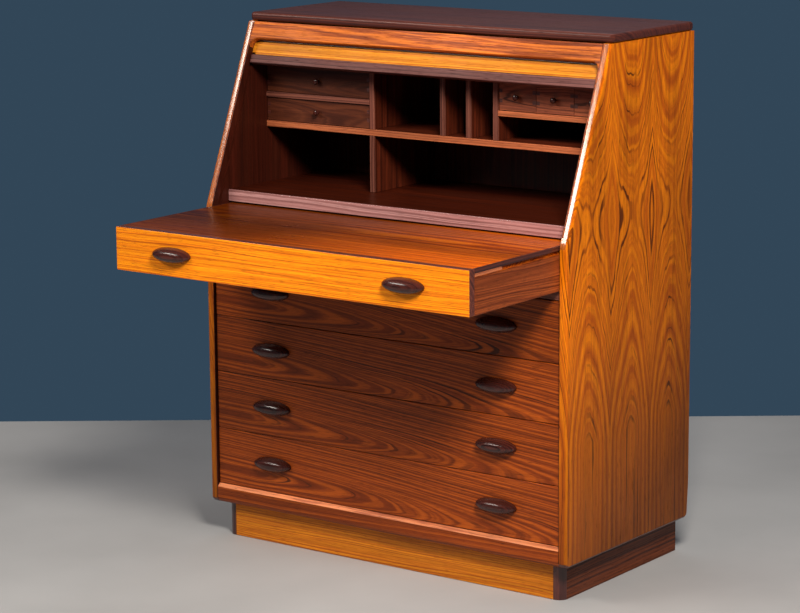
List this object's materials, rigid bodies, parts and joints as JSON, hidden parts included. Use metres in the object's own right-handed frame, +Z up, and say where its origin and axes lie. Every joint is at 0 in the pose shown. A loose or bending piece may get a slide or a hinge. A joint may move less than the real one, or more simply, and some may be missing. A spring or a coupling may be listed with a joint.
{
  "type": "secretary desk",
  "caption": "Upright secretary desk with a sloped tambour front, pull-out writing slide, wide drawers and a fitted interior of pigeonholes and small drawers.",
  "frame": {"origin": "middle of the base of the desk's box with the writing slide pulled out, on the floor", "axes": "+X to the right seen from the front, -Y to the front, +Z up"},
  "size_m": [0.92, 0.8078, 1.1305],
  "materials": {
    "back_ply": "plain stained plywood",
    "drawer_lining": "bare satin hardwood",
    "handle_wood": "polished solid rosewood, near black-brown",
    "rosewood_case": "clear-lacquered rosewood veneer, orange-brown with dark upright figure",
    "rosewood_dark": "clear-lacquered rosewood, very dark purple-brown",
    "rosewood_edge": "satin rosewood lipping, pinkish orange-brown",
    "rosewood_front": "clear-lacquered rosewood veneer, dark red-brown with figure across the width",
    "rosewood_inside": "satin rosewood veneer, dark red-brown",
    "rosewood_slide": "clear-lacquered rosewood veneer, bright orange-brown with fine dark streaks",
    "tambour_slats": "lacquered slats, bright yellow-orange with dark streaks"
  },
  "bodies": {
    "case": {"back_panel": "back_ply", "bottom_board": "rosewood_front", "cubby_back": "rosewood_inside", "cubby_top": "rosewood_edge", "divider_left": "rosewood_edge", "divider_middle_left": "rosewood_edge", "divider_middle_right": "rosewood_edge", "divider_right": "rosewood_edge", "dust_board": "rosewood_front", "floor_board": "rosewood_inside", "header_rail": "rosewood_front", "lower_divider": "rosewood_edge", "middle_shelf": "rosewood_edge", "plinth_back": "rosewood_dark", "plinth_front": "rosewood_slide", "plinth_left": "rosewood_dark", "plinth_right": "rosewood_dark", "side_panel_left": "rosewood_case", "side_panel_right": "rosewood_case", "small_shelf_left": "rosewood_edge", "small_shelf_right": "rosewood_edge", "top_board": "rosewood_dark"},
    "writing_slide": {"slide_top": "rosewood_front", "slide_front": "rosewood_slide", "slide_frame": "rosewood_dark", "slide_handle_left": "handle_wood", "slide_handle_right": "handle_wood"},
    "drawer_1": {"drawer_1_front": "rosewood_front", "drawer_1_box": "drawer_lining", "drawer_1_handle_left": "handle_wood", "drawer_1_handle_right": "handle_wood"},
    "drawer_2": {"drawer_2_front": "rosewood_front", "drawer_2_box": "drawer_lining", "drawer_2_handle_left": "handle_wood", "drawer_2_handle_right": "handle_wood"},
    "drawer_3": {"drawer_3_front": "rosewood_front", "drawer_3_box": "drawer_lining", "drawer_3_handle_left": "handle_wood", "drawer_3_handle_right": "handle_wood"},
    "drawer_4": {"drawer_4_front": "rosewood_front", "drawer_4_box": "drawer_lining", "drawer_4_handle_left": "handle_wood", "drawer_4_handle_right": "handle_wood"},
    "small_drawer_upper": {"small_drawer_upper": "rosewood_inside", "small_drawer_upper_knob": "handle_wood"},
    "small_drawer_lower": {"small_drawer_lower": "rosewood_inside", "small_drawer_lower_knob": "handle_wood"},
    "small_drawer_a": {"small_drawer_a": "rosewood_inside", "small_drawer_a_knob": "handle_wood"},
    "small_drawer_b": {"small_drawer_b": "rosewood_inside", "small_drawer_b_knob": "handle_wood"},
    "small_drawer_c": {"small_drawer_c": "rosewood_inside", "small_drawer_c_knob": "handle_wood"},
    "tambour_lead": {"grip_rail": "rosewood_dark", "lead_slat": "tambour_slats"},
    "tambour_slat_1": {"tambour_slat_1": "tambour_slats"},
    "tambour_slat_2": {"tambour_slat_2": "tambour_slats"},
    "tambour_slat_3": {"tambour_slat_3": "tambour_slats"},
    "tambour_back_1": {"tambour_back_1": "tambour_slats"},
    "tambour_back_2": {"tambour_back_2": "tambour_slats"}
  },
  "joints": [
    {"name": "slide_pull", "type": "slide", "parent": "case", "child": "writing_slide", "axis": [0, -1, 0], "range_m": [-0.3135, 0]},
    {"name": "drawer_1_pull", "type": "slide", "parent": "case", "child": "drawer_1", "axis": [0, -1, 0], "range_m": [0, 0.3]},
    {"name": "drawer_2_pull", "type": "slide", "parent": "case", "child": "drawer_2", "axis": [0, -1, 0], "range_m": [0, 0.3]},
    {"name": "drawer_3_pull", "type": "slide", "parent": "case", "child": "drawer_3", "axis": [0, -1, 0], "range_m": [0, 0.3]},
    {"name": "drawer_4_pull", "type": "slide", "parent": "case", "child": "drawer_4", "axis": [0, -1, 0], "range_m": [0, 0.3]},
    {"name": "small_drawer_upper_push", "type": "slide", "parent": "case", "child": "small_drawer_upper", "axis": [0, 1, 0], "range_m": [-0.14, 0]},
    {"name": "small_drawer_lower_push", "type": "slide", "parent": "case", "child": "small_drawer_lower", "axis": [0, 1, 0], "range_m": [-0.14, 0]},
    {"name": "small_drawer_a_push", "type": "slide", "parent": "case", "child": "small_drawer_a", "axis": [0, 1, 0], "range_m": [-0.14, 0]},
    {"name": "small_drawer_b_push", "type": "slide", "parent": "case", "child": "small_drawer_b", "axis": [0, 1, 0], "range_m": [-0.14, 0]},
    {"name": "small_drawer_c_push", "type": "slide", "parent": "case", "child": "small_drawer_c", "axis": [0, 1, 0], "range_m": [-0.14, 0]},
    {"name": "tambour_pull", "type": "slide", "parent": "case", "child": "tambour_lead", "axis": [0, -0.3758, -0.9267], "range_m": [0, 0.3095]},
    {"name": "tambour_slat_1_turn", "type": "hinge", "parent": "case", "child": "tambour_slat_1", "pos_m": [0, 1.13527, 0.4764], "axis": [1, 0, 0], "range_deg": [0, 14.8]},
    {"name": "tambour_slat_2_turn", "type": "hinge", "parent": "case", "child": "tambour_slat_2", "pos_m": [0, 0.35093, 0.80873], "axis": [1, 0, 0], "range_deg": [0, 49.17]},
    {"name": "tambour_slat_3_turn", "type": "hinge", "parent": "case", "child": "tambour_slat_3", "pos_m": [0, 0.22067, 0.87166], "axis": [1, 0, 0], "range_deg": [0, 78.23]},
    {"name": "tambour_back_1_turn", "type": "hinge", "parent": "case", "child": "tambour_back_1", "pos_m": [0, 0.21341, 0.8758], "axis": [1, 0, 0], "range_deg": [0, 80.93]},
    {"name": "tambour_back_2_turn", "type": "hinge", "parent": "case", "child": "tambour_back_2", "pos_m": [0, 0.2136, 0.87544], "axis": [1, 0, 0], "range_deg": [0, 80.77]}
  ],
  "couplings": [
    {"joint": "tambour_slat_1_turn", "follows": "tambour_pull", "rad_per_m": 0.83433},
    {"joint": "tambour_slat_2_turn", "follows": "tambour_pull", "rad_per_m": 2.7723},
    {"joint": "tambour_slat_3_turn", "follows": "tambour_pull", "rad_per_m": 4.4111},
    {"joint": "tambour_back_1_turn", "follows": "tambour_pull", "rad_per_m": 4.5637},
    {"joint": "tambour_back_2_turn", "follows": "tambour_pull", "rad_per_m": 4.5547}
  ]
}
